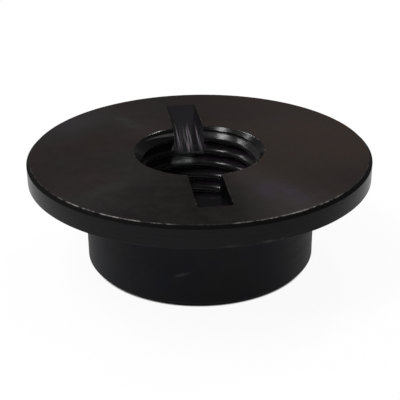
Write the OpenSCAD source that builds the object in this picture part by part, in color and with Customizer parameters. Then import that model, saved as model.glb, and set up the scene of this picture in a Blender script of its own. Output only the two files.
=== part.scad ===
// Slotted flange nut, turned from one bar and blackened.
// A wide thin flange sits on a round pilot boss. A tapped hole runs right through,
// countersunk at both ends, and a saw cut across the flange face takes a flat driver.
// The nut stands on its boss, flange up. The origin is on the axis, at the boss's lower face.
// Lengths are in millimetres.

/* [Flange] */
// Diameter of the flange
flange_d = 25.4; // [22:0.1:40]
// Thickness of the flange
flange_t = 1.6; // [1:0.1:4]
// Edge break on the upper rim of the flange
flange_break = 0.25; // [0.05:0.05:0.5]
// Edge break on the lower rim of the flange
under_break = 0.08; // [0.02:0.02:0.4]

/* [Boss] */
// Diameter of the boss
boss_d = 17.2; // [14:0.1:21]
// Length of the boss below the flange
boss_len = 6.9; // [4:0.1:16]
// Chamfer round the lower end of the boss
boss_chamfer = 0.45; // [0.1:0.05:1]
// Tool radius left in the corner between boss and flange
corner_r = 0.3; // [0.1:0.05:0.8]

/* [Tapped hole] */
// Outside diameter of the screw that fits
thread_d = 9.525; // [6:0.005:11]
// Pitch of the thread
thread_pitch = 1.058; // [0.5:0.001:1.5]
// How far each countersink is wider than the screw, on each side
countersink_rim = 0.1; // [0.05:0.01:1]
// Included angle of the countersinks
countersink_angle = 90; // [60:1:120]

/* [Driver slot] */
// Width of the slot
slot_w = 2.38; // [1:0.01:4]
// Length of the slot, measured on the flange face
slot_len = 19.8; // [14:0.1:23]
// Depth of the slot at its middle
slot_depth = 2.4; // [1:0.1:4]
// Distance from the axis to the middle of the slot's width
slot_offset = 0.25; // [0:0.01:0.5]

/* [Hidden] */
$fn = 96;
// Cuts run this far past a face, so that they open it cleanly
overshoot = 1;
// Height of a 60 degree internal thread as a share of its pitch, counted on both sides
thread_depth_share = 1.0825;

nut_h = boss_len + flange_t;
bore_d = thread_d - thread_depth_share * thread_pitch;
countersink_d = thread_d + 2 * countersink_rim;
// A round saw sunk into the face leaves a floor that is an arc of the saw's own radius
saw_r = (pow(slot_len / 2, 2) + pow(slot_depth, 2)) / (2 * slot_depth);

// Half of the flange's cross-section, with both rims broken at 45 degrees
module flange_profile() {
    rim = flange_d / 2;
    polygon([
        [0, boss_len],
        [rim - under_break, boss_len],
        [rim, boss_len + under_break],
        [rim, nut_h - flange_break],
        [rim - flange_break, nut_h],
        [0, nut_h]
    ]);
}

// Half of the boss's cross-section, reaching up into the flange
module boss_profile() {
    wall = boss_d / 2;
    polygon([
        [0, 0],
        [wall - boss_chamfer, 0],
        [wall, boss_chamfer],
        [wall, nut_h - flange_break],
        [0, nut_h - flange_break]
    ]);
}

// Fillet that the turning tool leaves under the flange
module corner_profile() {
    difference() {
        translate([boss_d / 2 - corner_r, boss_len - corner_r])
            square([2 * corner_r, 2 * corner_r]);
        translate([boss_d / 2 + corner_r, boss_len - corner_r])
            circle(r = corner_r);
    }
}

// The solid as it leaves the lathe, before it is drilled
module turned_blank() {
    rotate_extrude() {
        flange_profile();
        boss_profile();
        corner_profile();
    }
}

// Cone that opens upwards to its full width at z = 0, and goes on widening past it
module countersink() {
    slope = tan(countersink_angle / 2);
    depth = countersink_d / 2 / slope;
    translate([0, 0, -depth])
        cylinder(h = depth + overshoot, r1 = 0, r2 = countersink_d / 2 + overshoot * slope);
}

// Hole at the thread's inner diameter, with a countersink at each mouth
module tapped_hole() {
    translate([0, 0, -overshoot])
        cylinder(h = nut_h + 2 * overshoot, d = bore_d);
    translate([0, 0, nut_h])
        countersink();
    mirror([0, 0, 1])
        countersink();
}

// The saw that cuts the slot, standing on edge in the flange face and running along Y
module slot_saw() {
    translate([-slot_offset, 0, nut_h - slot_depth + saw_r])
        rotate([0, 90, 0])
            cylinder(h = slot_w, r = saw_r, center = true);
}

module flange_nut() {
    color([0.13, 0.125, 0.13])
        difference() {
            turned_blank();
            tapped_hole();
            slot_saw();
        }
}

flange_nut();
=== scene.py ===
# %% [markdown]
# # A slotted flange nut in black oxide
# The real nut is turned from one bar of steel: a wide thin flange on a round boss, a tapped hole
# right through, and a saw cut across the face for a flat driver. Then the whole nut is blackened in
# a hot salt bath. This lesson keeps to the order of the workshop: turn, tap, countersink, saw,
# blacken. The packed model is loaded first, because it gives the frame and the size to keep to.

# %% Load the packed model
import math

import bmesh
import bpy
from mathutils import Matrix, Vector


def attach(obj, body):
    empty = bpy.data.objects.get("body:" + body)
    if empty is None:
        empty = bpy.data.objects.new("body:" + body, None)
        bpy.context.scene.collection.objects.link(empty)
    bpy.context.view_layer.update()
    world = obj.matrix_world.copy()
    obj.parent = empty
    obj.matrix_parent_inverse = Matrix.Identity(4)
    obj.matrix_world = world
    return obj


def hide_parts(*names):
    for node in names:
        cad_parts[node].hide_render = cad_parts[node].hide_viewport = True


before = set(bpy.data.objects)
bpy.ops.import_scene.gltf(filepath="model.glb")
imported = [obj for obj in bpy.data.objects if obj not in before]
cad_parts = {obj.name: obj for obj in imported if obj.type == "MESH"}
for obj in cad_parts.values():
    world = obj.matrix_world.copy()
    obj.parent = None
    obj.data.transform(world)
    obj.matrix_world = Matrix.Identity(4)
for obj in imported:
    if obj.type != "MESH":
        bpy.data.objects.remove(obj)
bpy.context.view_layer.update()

MM_PER_M = 1000

# %% [markdown]
# ## Sizes
# A lathe drawing is in millimetres, and so are these values. They repeat the sizes of the solid
# model, so that the dressed nut keeps its form. Only the flange's lower edge is broken less here,
# because a wider break draws too pale a line. Blender's own unit here is the metre, but a mesh a
# few hundredths of a metre across is hard on tools such as Boolean, which compare tiny distances.
# So the nut is made in millimetres and shrunk to metres once it has been cut.

# %% Sizes from the drawing
FLANGE_R = 12.7
FLANGE_T = 1.6
FLANGE_BREAK = 0.25
UNDER_BREAK = 0.03
BOSS_R = 8.6
BOSS_LEN = 6.9
BOSS_CHAMFER = 0.45
CORNER_R = 0.3
HEIGHT = BOSS_LEN + FLANGE_T
M_PER_MM = 0.001
print("flange", 2 * FLANGE_R, "mm across, nut", HEIGHT, "mm high")

# %% [markdown]
# ## The turned blank
# On the lathe, a tool follows a profile while the bar spins. The same idea works in code: a list of
# points, each a radius and a height, is copied round the axis. No turned corner is perfectly sharp,
# and the hair-thin rounding is what catches the light along a rim, so the corners of the profile
# are first replaced by short arcs. A bevel modifier could round them too, but rounding the profile
# gives each corner its own radius and keeps the mesh in clean rings.

# %% Round the corners of a profile
ARC_STEPS = 4


def round_corners(corners):
    """corners: (radius, height, rounding). A corner with a rounding becomes an arc."""
    path = []
    for index, (radius, height, rounding) in enumerate(corners):
        if rounding == 0:
            path.append((radius, height))
            continue
        here = Vector((radius, height))
        back = (Vector(corners[index - 1][:2]) - here).normalized()
        ahead = (Vector(corners[index + 1][:2]) - here).normalized()
        half = back.angle(ahead) / 2
        centre = here + (back + ahead).normalized() * (rounding / math.sin(half))
        start = here + back * (rounding / math.tan(half)) - centre
        end = here + ahead * (rounding / math.tan(half)) - centre
        for step in range(ARC_STEPS + 1):
            arm = start.slerp(end, step / ARC_STEPS).normalized() * rounding
            path.append(tuple(centre + arm))
    return path


print("a rounded corner becomes", ARC_STEPS + 1, "points")

# %% Profile of the blank, from the middle of the face round to the middle of the boss's end
EDGE_ROUND = 0.06
BOSS_ROUND = 0.08
FACE_RINGS = (5.6, 9.0, 12.2)
END_RING = 5.6

blank_profile = round_corners([
    (0, HEIGHT, 0),
    *((radius, HEIGHT, 0) for radius in FACE_RINGS),
    (FLANGE_R - FLANGE_BREAK, HEIGHT, EDGE_ROUND),
    (FLANGE_R, HEIGHT - FLANGE_BREAK, EDGE_ROUND),
    (FLANGE_R, BOSS_LEN + UNDER_BREAK, 0),
    (FLANGE_R - UNDER_BREAK, BOSS_LEN, 0),
    (BOSS_R, BOSS_LEN, CORNER_R),
    (BOSS_R, BOSS_CHAMFER, BOSS_ROUND),
    (BOSS_R - BOSS_CHAMFER, 0, EDGE_ROUND),
    (END_RING, 0, 0),
    (0, 0, 0),
])
print("blank profile:", len(blank_profile), "points")

# %% Spin the profile round the axis
BLANK_COLUMNS = 320


def to_object(bm, name):
    bmesh.ops.recalc_face_normals(bm, faces=bm.faces)
    mesh = bpy.data.meshes.new(name)
    bm.to_mesh(mesh)
    bm.free()
    made = bpy.data.objects.new(name, mesh)
    bpy.context.scene.collection.objects.link(made)
    return made


def spin(name, profile, columns):
    """A closed solid of revolution about Z. The profile starts and ends on the axis."""
    bm = bmesh.new()
    angles = [2 * math.pi * column / columns for column in range(columns)]
    rings = []
    for radius, height in profile:
        if radius == 0:
            rings.append([bm.verts.new((0, 0, height))] * columns)
        else:
            ring = [(radius * math.cos(angle), radius * math.sin(angle), height) for angle in angles]
            rings.append([bm.verts.new(point) for point in ring])
    for upper, lower in zip(rings, rings[1:]):
        for column in range(columns):
            after = (column + 1) % columns
            loop = [upper[column], lower[column], lower[after], upper[after]]
            bm.faces.new(list(dict.fromkeys(loop)))
    return to_object(bm, name)


nut = spin("flange_nut_turned", blank_profile, BLANK_COLUMNS)
print("blank:", len(nut.data.polygons), "faces")

# %% [markdown]
# ## One black, five finishes
# Black oxide is thin: it colours the steel but keeps every tool mark under it. A faced disc, a
# turned side, a tapped thread, a countersink and a saw cut therefore shine differently, although
# all are the same black. One material with five masks could show this, but five short materials
# are easier to read. The blank takes the first two, by the way its faces point, and each cutting
# tool will carry its finish into the cut it makes.

# %% A material for each finish
CUTS = ("faced", "turned", "threaded", "countersunk", "sawn")
FACED, TURNED, THREADED, SUNK, SAWN = range(len(CUTS))
FLAT_ENOUGH = 0.9

finishes = [bpy.data.materials.new("black_oxide_" + cut) for cut in CUTS]
nut.data.materials.append(finishes[FACED])
nut.data.materials.append(finishes[TURNED])
for face in nut.data.polygons:
    face.material_index = FACED if abs(face.normal.z) > FLAT_ENOUGH else TURNED
print("finishes:", [material.name for material in finishes])

# %% [markdown]
# ## The thread
# A tap leaves a helical groove whose sides are about 60 degrees apart. The crests, which stand nearest
# the middle of the hole, are worn round, and that rounding draws the bright line on every turn. A stack
# of separate rings would not climb, so the rows of points on this tool follow the helix: walking
# once round the axis, a row arrives one pitch higher, where the next turn starts. The thread is
# right-hand, so height grows with the angle. A screw modifier can sweep such a groove too, but its
# open ends would have to be closed by hand before the tool could cut.

# %% Shape of one turn, as shares of the pitch and radii
SCREW_R = 4.7625
PITCH = 1.058
DEPTH_PER_PITCH = 0.54125
BORE_R = SCREW_R - DEPTH_PER_PITCH * PITCH
ROOT_R = 4.70
ROOT_FLAT = PITCH / 8
ROOT_ROUND = 0.06
CREST_FLAT = 0.30
CREST_ROUND = 0.25

turn = [(height / PITCH, radius) for radius, height in round_corners([
    (ROOT_R, 0, 0),
    (ROOT_R, ROOT_FLAT / 2, ROOT_ROUND),
    (BORE_R, PITCH / 2 - CREST_FLAT / 2, CREST_ROUND),
    (BORE_R, PITCH / 2 + CREST_FLAT / 2, CREST_ROUND),
    (ROOT_R, PITCH - ROOT_FLAT / 2, ROOT_ROUND),
    (ROOT_R, PITCH, 0),
])]


def radius_on_turn(share):
    share %= 1.0
    for (low, low_radius), (high, high_radius) in zip(turn, turn[1:]):
        if low <= share <= high:
            return low_radius + (high_radius - low_radius) * (share - low) / (high - low)


print("one turn:", len(turn), "points, inner radius", round(BORE_R, 3), "mm")

# %% Points of the tap, column by column
TAP_COLUMNS = 192
TAP_PAST_END = 0.5
TAP_LOW = -TAP_PAST_END
TAP_HIGH = HEIGHT + TAP_PAST_END


def tap_grid(bm):
    """Columns of points. What lies past an end of the tap is pushed back onto that end."""
    start = TAP_LOW - 2 * PITCH
    turns = math.ceil((TAP_HIGH - start) / PITCH) + 2
    rows = [PITCH * (number + share) for number in range(turns) for share, _ in turn[:-1]]
    grid = []
    for column in range(TAP_COLUMNS):
        angle = 2 * math.pi * column / TAP_COLUMNS
        climb = PITCH * column / TAP_COLUMNS
        line = []
        for row in rows:
            height = min(max(start + row + climb, TAP_LOW), TAP_HIGH)
            radius = radius_on_turn((height - start - climb) / PITCH)
            line.append(bm.verts.new((radius * math.cos(angle), radius * math.sin(angle), height)))
        grid.append(line)
    return grid


print("tap:", TAP_COLUMNS, "columns, from", TAP_LOW, "to", TAP_HIGH, "mm")

# %% Skin the tap and close its ends
SAME_POINT = 1e-5
ON_END = 1e-4


def make_tap(name):
    bm = bmesh.new()
    grid = tap_grid(bm)
    for column, here in enumerate(grid):
        after = grid[(column + 1) % TAP_COLUMNS]
        shift = len(turn) - 1 if column == TAP_COLUMNS - 1 else 0
        for row in range(len(here) - 1 - shift):
            bm.faces.new((here[row], after[row + shift], after[row + 1 + shift], here[row + 1]))
    bmesh.ops.remove_doubles(bm, verts=bm.verts, dist=SAME_POINT)
    loose = [vert for vert in bm.verts if not vert.link_faces]
    bmesh.ops.delete(bm, geom=loose, context="VERTS")
    for end in (TAP_LOW, TAP_HIGH):
        rim = [edge for edge in bm.edges if edge.is_boundary
               and all(abs(vert.co.z - end) < ON_END for vert in edge.verts)]
        bmesh.ops.contextual_create(bm, geom=rim)
    return to_object(bm, name)


tap_tool = make_tap("tap")
tap_tool.data.materials.append(finishes[THREADED])
print("tap:", len(tap_tool.data.polygons), "faces")

# %% [markdown]
# ## Countersinks
# A 90 degree countersink opens both ends of the hole a little wider than the screw, so that the
# first turn isn't left as a knife edge. A bevel would have to follow the ragged end of the thread,
# so a cone is turned as a tool instead. Its lip gets a shallower cone, about a hundredth of a
# millimetre deep, for the same reason as the rounded corners. One profile serves both ends: upside
# down, it is the lower tool. Its column count differs from that of the tap, because two tools with
# points in the same places are the hardest case for a Boolean.

# %% Make the countersinks
SINK_COLUMNS = 200
SINK_DEPTH = 1.4
PAST_FACE = 0.4
FLARE = 1.0
MOUTH_ROOM = 0.1
MOUTH_R = SCREW_R + MOUTH_ROOM
LIP = 0.012

sink_profile = [
    (0, HEIGHT + PAST_FACE),
    (MOUTH_R + LIP + FLARE, HEIGHT + PAST_FACE),
    (MOUTH_R + LIP, HEIGHT),
    (MOUTH_R - LIP, HEIGHT - LIP),
    (MOUTH_R - SINK_DEPTH, HEIGHT - SINK_DEPTH),
    (0, HEIGHT - SINK_DEPTH),
]
lower_profile = [(radius, HEIGHT - height) for radius, height in reversed(sink_profile)]
sink_tools = [spin("countersink_top", sink_profile, SINK_COLUMNS),
              spin("countersink_bottom", lower_profile, SINK_COLUMNS)]
for tool in sink_tools:
    tool.data.materials.append(finishes[SUNK])
print("countersink mouth:", 2 * MOUTH_R, "mm across")

# %% [markdown]
# ## The slot
# The driver slot was cut by a round saw sunk straight into the face, so its floor is an arc that
# runs out before the rim. A whole disc would cut the same arc, but a slice of it, made of short
# stations along the cut, takes fewer faces and can change its depth. Its sides lean outwards for
# the last hundredth of a millimetre, which breaks the slot's edges. Where the floor meets the
# thread at the far end, the steel would be left as a thin feather over the groove. On the real nut
# that feather has broken away, so the saw dips a little there.

# %% Size of the saw
SLOT_W = 2.38
SLOT_LEN = 19.8
SLOT_DEPTH = 2.4
SLOT_X = -0.25
SLOT_BREAK = 0.012
SAW_R = ((SLOT_LEN / 2) ** 2 + SLOT_DEPTH ** 2) / (2 * SLOT_DEPTH)
SAW_Z = HEIGHT - SLOT_DEPTH + SAW_R
FEATHER_FROM = 2.0
FEATHER_TO = 4.34
FEATHER_DROP = 0.35


def slot_floor(y):
    floor = SAW_Z - math.sqrt(SAW_R ** 2 - y ** 2)
    return floor - FEATHER_DROP if FEATHER_FROM < y < FEATHER_TO else floor


print("saw radius:", round(SAW_R, 2), "mm, slot floor at", round(slot_floor(0), 2), "mm")

# %% Make the saw
SAW_STATIONS = 64
SAW_ABOVE = 0.1
STEP_GAP = 0.001
LEAST_WALL = 0.01


def saw_outline(y):
    """Cross-section of the tool at a station: two walls, and sides that lean out at the face."""
    floor = slot_floor(y)
    lean = max(min(SLOT_BREAK, 0.5 * (HEIGHT - floor)), 0.0)
    top = max(floor + LEAST_WALL, HEIGHT - lean)
    half = SLOT_W / 2
    flare = half + (HEIGHT + PAST_FACE - top)
    left = [(-half, floor), (-half, top), (-flare, HEIGHT + PAST_FACE)]
    right = [(-x, z) for x, z in reversed(left)]
    return [(SLOT_X + x, y, z) for x, z in left + right]


def make_saw(name):
    reach = math.sqrt(SAW_R ** 2 - (SAW_Z - HEIGHT - SAW_ABOVE) ** 2)
    places = [reach * (2 * station / SAW_STATIONS - 1) for station in range(SAW_STATIONS + 1)]
    places = sorted(places + [FEATHER_TO - STEP_GAP, FEATHER_TO + STEP_GAP])
    bm = bmesh.new()
    loops = [[bm.verts.new(point) for point in saw_outline(y)] for y in places]
    for here, after in zip(loops, loops[1:]):
        for corner in range(len(here)):
            following = (corner + 1) % len(here)
            bm.faces.new((here[corner], after[corner], after[following], here[following]))
    bm.faces.new(loops[0])
    bm.faces.new(loops[-1])
    return to_object(bm, name)


saw_tool = make_saw("slotting_saw")
saw_tool.data.materials.append(finishes[SAWN])
print("saw:", len(saw_tool.data.polygons), "faces")

# %% [markdown]
# ## Cutting
# Each tool is subtracted from the blank with a Boolean modifier, in workshop order. Where two cuts
# meet, such as thread and countersink, the run-out of the thread appears by itself, as it does in
# steel. The setting TRANSFER lets a cut keep the tool's material. The result is read back as a
# plain mesh after each cut, so that no modifier and no tool is left in the finished scene.

# %% Cut with each tool in turn
for tool in [tap_tool, *sink_tools, saw_tool]:
    cut = nut.modifiers.new(tool.name, "BOOLEAN")
    cut.operation = "DIFFERENCE"
    cut.solver = "EXACT"
    cut.material_mode = "TRANSFER"
    cut.object = tool
    cut_nut = nut.evaluated_get(bpy.context.evaluated_depsgraph_get())
    nut_mesh = bpy.data.meshes.new_from_object(cut_nut)
    nut.modifiers.clear()
    nut.data = nut_mesh
    print("after", tool.name + ":", len(nut_mesh.polygons), "faces")
    bpy.data.objects.remove(tool)

# %% [markdown]
# ## Clean edges
# Smooth shading hides the facets of round surfaces, but it would also smear the light across true
# edges. So an edge stays sharp where its faces meet at more than 18 degrees, and wherever two cuts
# meet, since there the finish changes as well. Edges with one face, or with three, would be
# a fault in the mesh, so they are counted.

# %% Merge, set the shading and shrink to metres
MERGE = 2e-4
SHARP = math.radians(18)

bm = bmesh.new()
bm.from_mesh(nut.data)
bmesh.ops.remove_doubles(bm, verts=bm.verts, dist=MERGE)
bmesh.ops.dissolve_degenerate(bm, edges=bm.edges, dist=MERGE)
for face in bm.faces:
    face.smooth = True
for edge in bm.edges:
    kinds = {face.material_index for face in edge.link_faces}
    cuts_meet = len(kinds) == 2 and max(kinds) > TURNED
    edge.smooth = edge.calc_face_angle(0.0) < SHARP and not cuts_meet
bad_edges = sum(1 for edge in bm.edges if not edge.is_manifold)
bm.to_mesh(nut.data)
bm.free()
nut.data.name = "flange_nut_turned"
nut.data.transform(Matrix.Scale(M_PER_MM, 4))
print("nut:", len(nut.data.polygons), "faces,", bad_edges, "bad edges")

# %% Put the nut into the frame
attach(nut, "root")
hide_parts("flange_nut")
print("nut rides on root and stands for the solid")

# %% [markdown]
# ## A helper for shader nodes
# A material is a graph of small nodes. Wired one by one, even a simple pattern takes a page, so
# this helper adds a node, fills its inputs and links it in one call. A term can be a number, a
# colour or the output of another node, and the helper sees which it is.

# %% Add nodes and link them
class Wiring:
    """Adds nodes to one material and links them."""

    def __init__(self, material):
        material.use_nodes = True
        self.material = material
        self.tree = material.node_tree
        self.shader = self.tree.nodes["Principled BSDF"]

    def add(self, kind, values=None, links=None, **settings):
        made = self.tree.nodes.new("ShaderNode" + kind)
        for name, value in settings.items():
            setattr(made, name, value)
        for name, value in (values or {}).items():
            made.inputs[name].default_value = value
        for name, source in (links or {}).items():
            self.tree.links.new(source, made.inputs[name])
        return made

    def put(self, socket, term):
        if isinstance(term, bpy.types.NodeSocket):
            self.tree.links.new(term, socket)
        elif isinstance(term, tuple):
            socket.default_value = (*term, 1)
        else:
            socket.default_value = term

    def math(self, operation, *terms):
        made = self.add("Math", operation=operation)
        for index, term in enumerate(terms):
            self.put(made.inputs[index], term)
        return made.outputs[0]

    def times(self, first, *others):
        for other in others:
            first = self.math("MULTIPLY", first, other)
        return first

    def most(self, first, *others):
        for other in others:
            first = self.math("MAXIMUM", first, other)
        return first

    def vector(self, x, y, z):
        made = self.add("CombineXYZ")
        for index, term in enumerate((x, y, z)):
            self.put(made.inputs[index], term)
        return made.outputs[0]


print("wiring helpers:", [name for name in vars(Wiring) if not name.startswith("_")])

# %% [markdown]
# ## Patterns in workshop units
# On a turned part, most marks are easiest to place by radius, height and angle round the axis. This
# second helper works those out from the object's own coordinates, in millimetres and radians, and
# adds the few shapes that all the finishes are made of: noise, a soft step, a soft band and a blend
# of two colours. Nothing is painted on, so no image and no unwrapping is needed.

# %% Soft steps, bands and noise
COLOUR_A, COLOUR_B, COLOUR_OUT = 6, 7, 2


class Finish(Wiring):
    """Patterns laid out on the nut. Places are in millimetres, angles in radians."""

    def __init__(self, material):
        super().__init__(material)
        metres = self.add("TexCoord").outputs["Object"]
        self.place = self.scaled(metres, (MM_PER_M, MM_PER_M, MM_PER_M))
        self.x, self.y, self.z = self.add("SeparateXYZ", links={0: self.place}).outputs
        flat = self.scaled(self.place, (1, 1, 0))
        self.radius = self.add("VectorMath", links={0: flat}, operation="LENGTH").outputs["Value"]
        self.angle = self.math("ARCTAN2", self.y, self.x)

    def scaled(self, vector, factors):
        return self.add("VectorMath", {1: factors}, {0: vector}, operation="MULTIPLY").outputs[0]

    def noise(self, vector, scale, detail, rough=0.5):
        values = {"Scale": scale, "Detail": detail, "Roughness": rough}
        return self.add("TexNoise", values, {"Vector": vector}).outputs["Fac"]

    def ease(self, value, low, high, to_low=0.0, to_high=1.0):
        """A soft step from to_low to to_high."""
        values = {"From Min": low, "From Max": high, "To Min": to_low, "To Max": to_high}
        return self.add("MapRange", values, {"Value": value}, interpolation_type="SMOOTHSTEP").outputs[0]

    def distance(self, value, centre):
        return self.math("ABSOLUTE", self.math("SUBTRACT", value, centre))

    def band(self, value, centre, half):
        """1 at the centre, falling to 0 at a distance of half."""
        return self.ease(self.distance(value, centre), 0.0, half, 1.0, 0.0)

    def blend(self, share, first, second):
        made = self.add("Mix", data_type="RGBA")
        self.put(made.inputs["Factor"], share)
        self.put(made.inputs[COLOUR_A], first)
        self.put(made.inputs[COLOUR_B], second)
        return made.outputs[COLOUR_OUT]

    def surface(self, colour, roughness, specular):
        self.put(self.shader.inputs["Base Color"], colour)
        self.put(self.shader.inputs["Roughness"], roughness)
        self.put(self.shader.inputs["Specular IOR Level"], specular)

    def bump(self, height, strength, depth):
        """Depth is in metres, as Blender counts it."""
        made = self.add("Bump", {"Strength": strength, "Distance": depth}, {"Height": height})
        self.tree.links.new(made.outputs[0], self.shader.inputs["Normal"])


print("pattern helpers:", [name for name in vars(Finish) if not name.startswith("_")])

# %% [markdown]
# ## Wear, and a painted highlight on the rim
# Black oxide is only a thousandth of a millimetre thick, so it rubs through first where the nut
# touches other things: along the rim's upper edge, and in specks round the mouth of the hole and
# along the slot. There the bare steel shows as a light, broken line. On the rim the line is much
# stronger in two long stretches at the front: there it is a painted highlight, which stands in for
# the lamps' glint on the rounded edge. A mask made from the mesh's curvature would wear all edges
# alike, so each mask here is a narrow band on one edge, multiplied by noise that breaks it up. The
# faced and the turned finish meet on the rim, so both use the same mask and the line runs across
# without a seam.

# %% Wear along the rim, with a painted highlight in two stretches
WORN_STEEL_AND_HIGHLIGHT = (0.26, 0.245, 0.235)
RIM_EDGE_R = FLANGE_R - FLANGE_BREAK + 0.01
# Middles of the two front stretches where the rim's line is a painted highlight, as angles round the axis.
RIM_HIGHLIGHT_AT = (-2.19, -1.2)
EVERYWHERE = 0.12


def near_face(finish):
    """1 at the face, 0 from six hundredths of a millimetre below it."""
    return finish.ease(finish.z, HEIGHT - 0.06, HEIGHT - 0.03)


def rim_wear_and_highlight(finish):
    edge = finish.times(finish.band(finish.radius, RIM_EDGE_R, 0.05), near_face(finish))
    # Inside these stretches the line is a painted highlight; elsewhere it is faint wear.
    stretches = [finish.ease(finish.distance(finish.angle, middle), 0.26, 0.42, 1.0, 0.0)
                 for middle in RIM_HIGHLIGHT_AT]
    where = finish.most(*stretches, EVERYWHERE)
    chips = finish.ease(finish.noise(finish.place, 1.7, 5.0, 0.75), 0.40, 0.62, 0.04, 1.0)
    return finish.times(edge, where, chips)


print("rim worn round", [round(math.degrees(middle)) for middle in RIM_HIGHLIGHT_AT], "degrees")

# %% Specks round the mouth and along the slot
SPECK_STRENGTH = 0.55
SLOT_SHARE = 0.5


def worn_mouths(finish):
    top = near_face(finish)
    less_on_left = finish.ease(finish.x, -2.5, 0.5, 0.25, 1.0)
    lip = finish.times(finish.band(finish.radius, MOUTH_R, 0.06), top, less_on_left)
    from_middle = finish.distance(finish.x, SLOT_X)
    slot_end = SLOT_LEN / 2
    inside = finish.ease(finish.math("ABSOLUTE", finish.y), slot_end - 0.3, slot_end, 1.0, 0.0)
    slot_edge = finish.times(finish.band(from_middle, SLOT_W / 2 + 0.02, 0.04), top, inside)
    specks = finish.ease(finish.noise(finish.place, 3.1, 3.0, 0.7), 0.54, 0.64, 0.0, SPECK_STRENGTH)
    return finish.times(finish.most(lip, finish.times(slot_edge, SLOT_SHARE)), specks)


print("specks on a lip", 2 * MOUTH_R, "mm across and on a slot", SLOT_W, "mm wide")

# %% [markdown]
# ## The faced disc
# The flange face was turned with a tool that fed slowly outwards, so it is covered in very fine
# rings. The black on it isn't even: it drifts at random between warm and almost neutral, with a
# violet patch where the oxide is a little thinner. A lighter, browner tone towards the right is
# painted light, where the lamps behind the nut brighten the face, and the dark wedge in front is
# painted shade. Light streaks and patches on the face are painted sheen. These tones are blends of
# dark colours, driven by place and by slow noise. Painting them would give more control, but
# formulas stay sharp at any size.

# %% Slow tones across the face, with painted light and painted shade
WARM_BLACK = (0.0118, 0.0074, 0.0056)
COOL_BLACK = (0.0094, 0.0069, 0.0073)
LIT_BROWN = (0.0235, 0.0150, 0.0115)
PAINTED_SHADE_BLACK = (0.0036, 0.0024, 0.0028)
CLOUD = (0.0170, 0.0130, 0.0125)
SHADED_FRONT_ANGLE = -1.95

faced = Finish(finishes[FACED])
tint = faced.ease(faced.noise(faced.place, 0.16, 3.0), 0.35, 0.65)
colour = faced.blend(tint, WARM_BLACK, COOL_BLACK)
# Painted light: a lighter, browner tone towards the right, where the lamps behind brighten the face.
painted_light_right = faced.ease(faced.x, -4.0, 11.0, 0.0, 0.9)
not_far = faced.ease(faced.y, 2.0, 9.0, 1.0, 0.6)
not_near = faced.ease(faced.y, -8.0, -1.0, 0.25, 1.0)
colour = faced.blend(faced.times(painted_light_right, not_far, not_near), colour, LIT_BROWN)
# Painted shade: a dark wedge at the front of the face.
painted_front_shade = faced.ease(faced.distance(faced.angle, SHADED_FRONT_ANGLE), 0.25, 0.85, 0.9, 0.0)
colour = faced.blend(painted_front_shade, colour, PAINTED_SHADE_BLACK)
clouds = faced.ease(faced.noise(faced.place, 0.9, 4.0, 0.6), 0.3, 0.7, 0.0, 0.4)
colour = faced.blend(clouds, colour, CLOUD)
print("face tones:", len(faced.tree.nodes), "nodes")

# %% Patches on the face, and painted sheen
VIOLET = (0.0200, 0.0125, 0.0235)
PAINTED_SHEEN = (0.0170, 0.0150, 0.0165)


def patch(finish, x, y, long, wide, turned):
    """A soft oval on the face: 1 in its middle, 0 at its outline."""
    across_x = finish.math("SUBTRACT", finish.x, x)
    across_y = finish.math("SUBTRACT", finish.y, y)
    cosine, sine = math.cos(turned), math.sin(turned)
    along = finish.math("ADD", finish.times(across_x, cosine / long), finish.times(across_y, sine / long))
    aside = finish.math("ADD", finish.times(across_x, -sine / wide), finish.times(across_y, cosine / wide))
    squares = finish.math("ADD", finish.times(along, along), finish.times(aside, aside))
    return finish.ease(finish.math("SQRT", squares), 0.2, 1.0, 1.0, 0.0)


mottle = faced.ease(faced.noise(faced.place, 0.6, 3.0, 0.6), 0.3, 0.6)
violet = faced.times(patch(faced, 4.4, -8.4, 3.2, 1.8, -1.0), mottle)
colour = faced.blend(violet, colour, VIOLET)
# The light streaks and ovals are painted sheen: the fan of light that the rings throw, painted into the
# colour.
painted_sheen = faced.most(faced.times(patch(faced, -5.0, 6.6, 2.8, 0.9, 2.2), mottle),
                  faced.times(patch(faced, -6.8, -5.8, 3.2, 1.0, -2.43), 0.32),
                  faced.times(patch(faced, 7.35, 5.8, 3.0, 1.0, 0.66), 0.35),
                  faced.times(faced.band(faced.angle, 2.5, 0.5), faced.ease(faced.radius, 8.5, 11.5)))
colour = faced.blend(painted_sheen, colour, PAINTED_SHEEN)
print("with patches:", len(faced.tree.nodes), "nodes")

# %% [markdown]
# The rings themselves are noise stretched round the axis: it changes quickly with the radius and
# slowly with the angle. They darken the colour a little, roughen it and give a faint bump. What the
# eye notices most is how such rings shine: a highlight is pulled out across them into a fan. Real
# grooves are too fine to model, so the shader's anisotropy does this, with a tangent that runs
# round the axis.

# %% Rings from the facing tool
FEEDS_PER_MM = 9.0
RING_BLACK = (0.0050, 0.0040, 0.0040)
FINE_MARK_DEPTH = 0.000004
FAN_STRENGTH = 0.7
QUARTER_TURN = 0.25

grooves = faced.noise(faced.vector(faced.times(faced.radius, FEEDS_PER_MM),
                                   faced.times(faced.angle, 0.5), 0.0), 1.0, 3.0, 0.6)
colour = faced.blend(faced.ease(grooves, 0.3, 0.7, 0.0, 0.14), colour, RING_BLACK)
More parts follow.
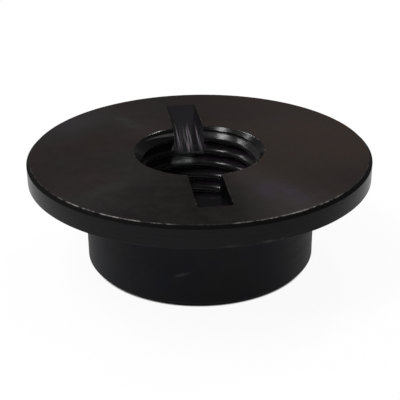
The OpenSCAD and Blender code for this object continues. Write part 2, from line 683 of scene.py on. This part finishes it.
# Rim wear with its painted highlight, then specks of wear round the mouths.
colour = faced.blend(rim_wear_and_highlight(faced), colour, WORN_STEEL_AND_HIGHLIGHT)
colour = faced.blend(worn_mouths(faced), colour, WORN_STEEL_AND_HIGHLIGHT)
faced.surface(colour, faced.ease(grooves, 0.25, 0.75, 0.30, 0.38), 0.09)
faced.bump(grooves, 0.14, FINE_MARK_DEPTH)
tangent = faced.add("Tangent", direction_type="RADIAL", axis="Z").outputs[0]
faced.tree.links.new(tangent, faced.shader.inputs["Tangent"])
faced.shader.inputs["Anisotropic"].default_value = FAN_STRENGTH
faced.shader.inputs["Anisotropic Rotation"].default_value = QUARTER_TURN
print("faced finish:", len(faced.tree.nodes), "nodes")

# %% [markdown]
# ## The turned side
# Rim and boss were turned with the same fine feed, but shine less than the face. The black leans to
# blue in places and to brown in others. The rim's chamfer is painted as the darkest band of all, a
# painted dark reflection. There are marks of use, too: a nick on the boss, and small chips just
# above the rim's lower edge. They could be cut into the mesh, but they are so shallow that a change
# of colour is enough. The boss's foot and the rim's lower edge look down and would mirror the white
# table, so both are made matt.

# %% Tones of rim and boss
BLUE_BLACK = (0.0094, 0.0098, 0.0142)
BROWN_BLACK = (0.0128, 0.0114, 0.0114)
RIM_BLACK = (0.0108, 0.0106, 0.0118)
CHAMFER_SHADE_BLACK = (0.0024, 0.0021, 0.0024)

side = Finish(finishes[TURNED])
tint = side.ease(side.noise(side.place, 0.4, 4.0, 0.6), 0.35, 0.65)
colour = side.blend(tint, BLUE_BLACK, BROWN_BLACK)
on_rim = side.ease(side.radius, BOSS_R + 0.5, FLANGE_R - 0.6)
colour = side.blend(on_rim, colour, RIM_BLACK)
on_chamfer = side.ease(side.z, HEIGHT - FLANGE_BREAK - 0.02, HEIGHT - FLANGE_BREAK + 0.04)
# Painted dark reflection on the rim's chamfer.
colour = side.blend(on_chamfer, colour, CHAMFER_SHADE_BLACK)
print("side tones:", len(side.tree.nodes), "nodes")

# %% Chips above the rim's lower edge and a nick in the boss
CHIPPED_AT = ((-1.33, 0.10, 1.0), (-1.55, 0.08, 0.3))
CHIP_GREY = (0.048, 0.047, 0.047)
NICK_GREY = (0.044, 0.044, 0.046)
NICK_ANGLE = -1.85
NICK_Z = 2.66
NICK_SLOPE = 0.30

chipped = side.most(*(side.times(side.band(side.angle, middle, half), strength)
                      for middle, half, strength in CHIPPED_AT))
chips = side.times(side.band(side.z, BOSS_LEN + 0.11, 0.11),
                   side.ease(side.noise(side.place, 2.4, 3.0), 0.40, 0.56), chipped, on_rim)
colour = side.blend(chips, colour, CHIP_GREY)
along = side.times(side.math("SUBTRACT", side.angle, NICK_ANGLE), BOSS_R)
above = side.math("SUBTRACT", side.math("SUBTRACT", side.z, NICK_Z), side.times(along, NICK_SLOPE))
nick = side.times(side.band(along, 0.0, 0.75), side.band(above, 0.0, 0.18),
                  side.ease(side.noise(side.place, 2.0, 2.0), 0.15, 0.40))
colour = side.blend(nick, colour, NICK_GREY)
# The same rim wear and painted highlight as on the face.
colour = side.blend(rim_wear_and_highlight(side), colour, WORN_STEEL_AND_HIGHLIGHT)
print("with chips, nick and wear:", len(side.tree.nodes), "nodes")

# %% Shine of the turned side
grooves = side.noise(side.vector(side.times(side.z, FEEDS_PER_MM), side.times(side.angle, 0.7), 0.0),
                     1.0, 3.0, 0.6)
roughness = side.ease(grooves, 0.25, 0.75, 0.52, 0.60)
roughness = side.math("SUBTRACT", roughness, side.times(on_rim, 0.28))
foot = side.ease(side.z, BOSS_CHAMFER - 0.05, BOSS_CHAMFER + 0.03, 0.4, 0.0)
under_rim = side.times(side.band(side.z, BOSS_LEN, 0.05), on_rim, 0.5)
matt = side.most(foot, under_rim, side.times(on_chamfer, 0.45))
side.surface(colour, side.math("ADD", roughness, matt), 0.06)
side.bump(grooves, 0.08, FINE_MARK_DEPTH)
print("turned finish:", len(side.tree.nodes), "nodes")

# %% [markdown]
# ## Thread and countersink
# Tap and countersink burnish the steel as they cut, so both are shinier than the rest and carry
# short streaks round the axis. The left of the hole looks duller than the right. Deep in the grooves
# the black is painted lighter and violet: painted light against the shade there. On the turn under
# the slot's far end a light patch is painted, a painted highlight, and it is made rougher too. The
# same streaked noise drives roughness and bump, because on real metal a deeper scratch is also a
# duller one. All masks are worked out from the place on the nut, as for the face.

# %% Threaded black
THREAD_BLACK = (0.0110, 0.0098, 0.0112)
STREAK_BLACK = (0.0150, 0.0158, 0.0146)
GROOVE_PAINTED_LIGHT = (0.030, 0.021, 0.031)
PATCH_HIGHLIGHT = (0.260, 0.275, 0.270)
PATCH_HIGHLIGHT_X = -0.75
PATCH_HIGHLIGHT_Z = 6.0


def streaked(finish, per_mm, per_radian):
    stretched = finish.vector(finish.times(finish.z, per_mm), finish.times(finish.angle, per_radian), 0.0)
    return finish.noise(stretched, 1.0, 3.0, 0.6)


threaded = Finish(finishes[THREADED])
streaks = streaked(threaded, 6.0, 5.0)
colour = threaded.blend(streaks, THREAD_BLACK, STREAK_BLACK)
# Painted light: the grooves, most of all deeper down, are painted lighter and violet against their shade.
painted_groove_light = threaded.times(threaded.ease(threaded.radius, BORE_R + 0.15, ROOT_R - 0.02),
                           threaded.ease(threaded.z, 6.4, 7.4, 1.0, 0.2))
colour = threaded.blend(painted_groove_light, colour, GROOVE_PAINTED_LIGHT)
# A painted highlight: a light patch on the turn under the slot's far end, made rougher as well.
painted_patch_highlight = threaded.times(threaded.ease(threaded.distance(threaded.x, PATCH_HIGHLIGHT_X), 0.4, 1.2, 1.0, 0.0),
                      threaded.ease(threaded.y, 3.5, 4.0),
                      threaded.band(threaded.z, PATCH_HIGHLIGHT_Z, 0.5),
                      threaded.ease(streaks, 0.35, 0.6, 0.4, 1.0))
colour = threaded.blend(painted_patch_highlight, colour, PATCH_HIGHLIGHT)
print("thread tones:", len(threaded.tree.nodes), "nodes")

# %% Shine of the thread
STREAK_DEPTH = 0.00002

roughness = threaded.math("ADD", threaded.ease(streaks, 0.3, 0.7, 0.14, 0.24), threaded.times(painted_patch_highlight, 0.3))
roughness = threaded.math("ADD", roughness, threaded.ease(threaded.x, -1.5, 1.0, 0.25, 0.0))
threaded.surface(colour, roughness, threaded.ease(threaded.x, -1.5, 1.0, 0.10, 0.24))
threaded.bump(streaks, 0.5, STREAK_DEPTH)
print("threaded finish:", len(threaded.tree.nodes), "nodes")

# %% Countersunk black
SUNK_BLACK = (0.0045, 0.0040, 0.0044)

sunk = Finish(finishes[SUNK])
streaks = streaked(sunk, 7.0, 3.0)
colour = sunk.blend(worn_mouths(sunk), SUNK_BLACK, WORN_STEEL_AND_HIGHLIGHT)
shine = sunk.ease(sunk.x, -2.5, 0.5, 0.13, 0.26)
sunk.surface(colour, sunk.ease(streaks, 0.3, 0.7, 0.14, 0.22), shine)
sunk.bump(streaks, 0.5, STREAK_DEPTH)
print("countersunk finish:", len(sunk.tree.nodes), "nodes")

# %% [markdown]
# ## The sawn slot
# Saw teeth leave long scratch marks along the cut. On this nut they catch the light in three groups
# on the far ramp of the slot: strong in the middle of the ramp, gone at its upper end and faint at
# its foot. That light colour is a painted glint, a painted highlight over real scratch marks.
# Elsewhere the slot is plain and dark, apart from the small step where the feather broke away, which
# is painted a lighter grey: painted light on a face in shade. Scratch marks cut into the mesh would
# take thousands of faces. So they are noise stretched along the slot, shown only inside the three
# bands and faded along the cut.

# %% Scratches and their painted glint along the far ramp
SCRATCH_GLINTS_AT = ((-0.13, 0.42), (-0.98, 0.42), (0.76, 0.18))

sawn = Finish(finishes[SAWN])
marks = sawn.noise(sawn.vector(sawn.times(sawn.x, 5.0), sawn.times(sawn.y, 0.18), 0.0), 1.0, 2.0, 0.6)
groups = sawn.most(*(sawn.band(sawn.x, middle, half) for middle, half in SCRATCH_GLINTS_AT))
along_ramp = sawn.times(sawn.ease(sawn.y, 6.4, 8.2, 1.0, 0.0), sawn.ease(sawn.y, 4.3, 6.0, 0.2, 1.0),
                        sawn.ease(sawn.y, 2.0, 4.0))
# Painted glint: the scratch marks are painted light where the lamps catch them.
scratch_glints = sawn.times(sawn.ease(marks, 0.44, 0.62), groups, along_ramp)
print("scratches:", len(SCRATCH_GLINTS_AT), "groups")

# %% Sawn black
SLOT_BLACK = (0.0028, 0.0024, 0.0032)
RAMP_BLACK = (0.0070, 0.0062, 0.0074)
SCRATCH_GLINT = (0.220, 0.190, 0.225)
STEP_PAINTED_LIGHT = (0.060, 0.066, 0.063)
SAW_MARK_DEPTH = 0.00006

colour = sawn.blend(sawn.ease(sawn.y, 4.3, 5.0), SLOT_BLACK, RAMP_BLACK)
# The painted glint on the scratch marks.
colour = sawn.blend(scratch_glints, colour, SCRATCH_GLINT)
# Painted light on the feather's step, which lies in shade.
on_step = sawn.band(sawn.y, FEATHER_TO, 0.03)
colour = sawn.blend(on_step, colour, STEP_PAINTED_LIGHT)
sawn.surface(sawn.blend(worn_mouths(sawn), colour, WORN_STEEL_AND_HIGHLIGHT), 0.32, 0.08)
sawn.bump(sawn.times(marks, along_ramp), 0.6, SAW_MARK_DEPTH)
print("sawn finish:", len(sawn.tree.nodes), "nodes")

# %% [markdown]
# ## The white table
# The nut stands on white paper with no horizon. A big plane is enough, but lighting it up to full
# white would wash out the black nut. So the paper glows by itself, though only for rays from the
# camera and for reflections, and the small share of ordinary white that is left takes the nut's
# shadow. Right under the nut the glow stops, as no light gets there. The plane lies a hair below the
# nut, so that the two faces don't flicker, and it is clear from below, for a look at the underside.

# %% Floor
FLOOR_HALF = 3.0
FLOOR_Z = -1e-5

corners = [(-1, -1), (1, -1), (1, 1), (-1, 1)]
floor_mesh = bpy.data.meshes.new("floor")
floor_mesh.from_pydata([(FLOOR_HALF * x, FLOOR_HALF * y, FLOOR_Z) for x, y in corners], [], [(0, 1, 2, 3)])
floor = bpy.data.objects.new("floor", floor_mesh)
bpy.context.scene.collection.objects.link(floor)
print("floor:", 2 * FLOOR_HALF, "m wide")

# %% White paper
PAPER_WHITE = (0.9, 0.9, 0.9)
GLOW_SHARE = 0.94

paper = Finish(bpy.data.materials.new("white_paper"))
paper.surface(PAPER_WHITE, 0.9, 0.1)
rays = paper.add("LightPath").outputs
seen = paper.most(rays["Is Camera Ray"], rays["Is Glossy Ray"], rays["Is Transmission Ray"])
glow = paper.add("Emission", {"Color": (1, 1, 1, 1), "Strength": 1.0}).outputs[0]
open_floor = paper.ease(paper.radius, BOSS_R - 0.42, BOSS_R - 0.22, 0.0, GLOW_SHARE)
glowing = paper.times(seen, open_floor)
lit = paper.add("MixShader", links={0: glowing, 1: paper.shader.outputs[0], 2: glow}).outputs[0]
from_below = paper.add("NewGeometry").outputs["Backfacing"]
clear = paper.add("BsdfTransparent").outputs[0]
sheet = paper.add("MixShader", links={0: from_below, 1: lit, 2: clear}).outputs[0]
paper.tree.links.new(sheet, paper.tree.nodes["Material Output"].inputs["Surface"])
paper.material.cycles.emission_sampling = "NONE"
floor_mesh.materials.append(paper.material)
print("paper:", len(paper.tree.nodes), "nodes")

# %% [markdown]
# ## Light
# Black metal is lit mostly by what it mirrors, so the lamps are placed by their reflections. Two
# narrow lamps behind the nut make the fans of light on its face: a wide lamp would blur them. A
# long strip above the left shoulder draws the bright bars at the mouth of the hole and a glint on
# each turn of the thread. Three small lamps, two on the left and one above, light more of the hole.
# Directions are given as the camera sees them, with x to the right, y away from the viewer and z
# up, and are then turned with the camera. A plain grey room fills the rest.

# %% Lamps
SLOT_TURN = math.radians(7.5)
LAMP_DISTANCE = 0.3
TABLE_DEPTH = (0, 1, 0)
STRIP_RUN = (-0.26, -0.64, -0.245)
TOP = Vector((0, 0, M_PER_MM * HEIGHT))
turned_view = Matrix.Rotation(-SLOT_TURN, 3, "Z")


def lamp(name, direction, wide, long, radiance, run=TABLE_DEPTH):
    """A rectangular lamp in metres that faces the nut, with its long side along run."""
    light = bpy.data.lights.new(name, "AREA")
    light.shape = "RECTANGLE"
    light.size, light.size_y = wide, long
    light.energy = radiance * math.pi * wide * long
    made = bpy.data.objects.new(name, light)
    aim = turned_view @ Vector(direction).normalized()
    across = (turned_view @ Vector(run)).cross(aim).normalized()
    made.location = TOP + aim * LAMP_DISTANCE
    made.rotation_euler = Matrix((across, aim.cross(across), aim)).transposed().to_euler()
    bpy.context.scene.collection.objects.link(made)


lamp("lamp_back_right", (0.32, 0.545, 0.79), 0.014, 0.07, 84)
lamp("lamp_back_left", (-0.345, 0.60, 0.72), 0.014, 0.06, 34)
lamp("lamp_strip", (-0.43, -0.18, 0.885), 0.045, 0.28, 18, STRIP_RUN)
lamp("lamp_high_left", (-0.57, 0.31, 0.76), 0.045, 0.035, 20)
lamp("lamp_left", (-0.775, 0.32, 0.54), 0.07, 0.05, 8)
lamp("lamp_above", (0.36, 0.15, 0.92), 0.03, 0.03, 26)
print("lamps:", len(bpy.data.lights))

# %% The grey room
ROOM_GREY = 0.15

world = bpy.data.worlds.new("room")
world.use_nodes = True
backdrop = world.node_tree.nodes["Background"].inputs
backdrop["Color"].default_value = (ROOM_GREY, ROOM_GREY, ROOM_GREY, 1)
backdrop["Strength"].default_value = 1.0
bpy.context.scene.world = world
print("room: grey", ROOM_GREY)

# %% [markdown]
# ## Camera
# The nut is seen from about 25 degrees above the table, with the slot turned by a few degrees. The
# nut itself keeps to its frame, so it is the camera that goes round it. A short distance of about
# three flange widths gives the clear perspective of a close-up, and the lens is chosen to fill the
# picture. The camera leans by half a degree, as a hand-held one does.

# %% Camera
CAMERA_HEIGHT_ANGLE = math.radians(25.20)
CAMERA_LEAN = math.radians(-0.567)
CAMERA_DISTANCE = 72.6275
AIM_POINT = Vector((0.0178, 0, -4.1593))

camera_data = bpy.data.cameras.new("camera")
camera_data.sensor_width = 36
camera_data.lens = 85.98
camera_data.clip_start = 0.001
camera = bpy.data.objects.new("camera", camera_data)
bpy.context.scene.collection.objects.link(camera)

ahead = Vector((0, math.cos(CAMERA_HEIGHT_ANGLE), -math.sin(CAMERA_HEIGHT_ANGLE)))
level = Vector((1, 0, 0))
upright = level.cross(ahead)
right = level * math.cos(CAMERA_LEAN) + upright * math.sin(CAMERA_LEAN)
up = upright * math.cos(CAMERA_LEAN) - level * math.sin(CAMERA_LEAN)
pose = Matrix((right, up, -ahead)).transposed().to_4x4()
pose.translation = M_PER_MM * (AIM_POINT - ahead * CAMERA_DISTANCE)
camera.matrix_world = Matrix.Translation(TOP) @ turned_view.to_4x4() @ pose
bpy.context.scene.camera = camera
bpy.context.scene.view_settings.view_transform = "Standard"
print("camera:", round(CAMERA_DISTANCE, 1), "mm from the point it looks at")

# %% [markdown] ## Hand over
